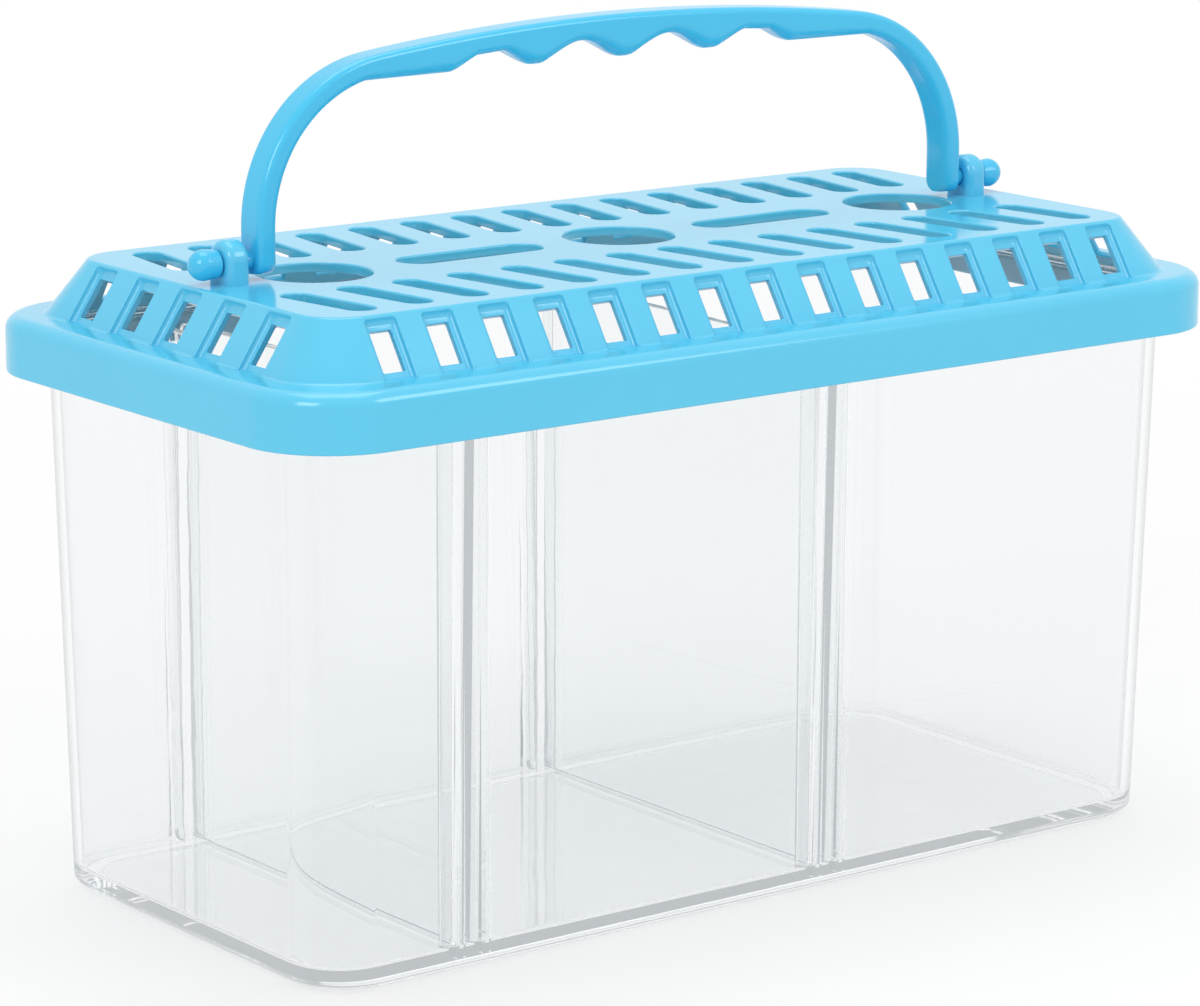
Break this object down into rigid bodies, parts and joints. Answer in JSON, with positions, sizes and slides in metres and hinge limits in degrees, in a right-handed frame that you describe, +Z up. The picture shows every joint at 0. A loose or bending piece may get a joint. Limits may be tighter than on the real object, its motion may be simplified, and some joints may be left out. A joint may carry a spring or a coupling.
{
  "type": "fish breeding box",
  "caption": "Clear plastic fish box with removable dividers, a slotted lift-off grille lid with feed holes and a swinging carry handle.",
  "frame": {"origin": "centre of the box on the surface it stands on, under the foot ring", "axes": "+X along the length, towards the right end in the picture; -Y towards the front; +Z up"},
  "size_m": [0.24, 0.122, 0.1792],
  "materials": {
    "clear_tank": "clear glossy moulded polystyrene, 2 mm walls",
    "clear_divider": "clear glossy plastic plate",
    "blue_lid": "glossy sky-blue moulded plastic",
    "blue_handle": "glossy sky-blue moulded plastic"
  },
  "bodies": {
    "tank": {"tank": "clear_tank"},
    "left_divider": {"left_divider": "clear_divider"},
    "right_divider": {"right_divider": "clear_divider"},
    "lid": {"lid": "blue_lid"},
    "handle": {"handle": "blue_handle"}
  },
  "joints": [
    {"name": "lid_lift", "type": "slide", "parent": "tank", "child": "lid", "axis": [0, 0, 1], "range_m": [0, 0.16]},
    {"name": "handle_swing", "type": "hinge", "parent": "lid", "child": "handle", "pos_m": [0, 0, 0.1365], "axis": [1, 0, 0], "range_deg": [-90, 90]},
    {"name": "left_divider_slide", "type": "slide", "parent": "tank", "child": "left_divider", "axis": [0, 0, 1], "range_m": [0, 0.112]},
    {"name": "right_divider_slide", "type": "slide", "parent": "tank", "child": "right_divider", "axis": [0, 0, 1], "range_m": [0, 0.112]}
  ],
  "couplings": [
    {"joint": "left_divider_slide", "follows": "lid_lift", "ratio": 0.7},
    {"joint": "right_divider_slide", "follows": "lid_lift", "ratio": 0.7}
  ]
}
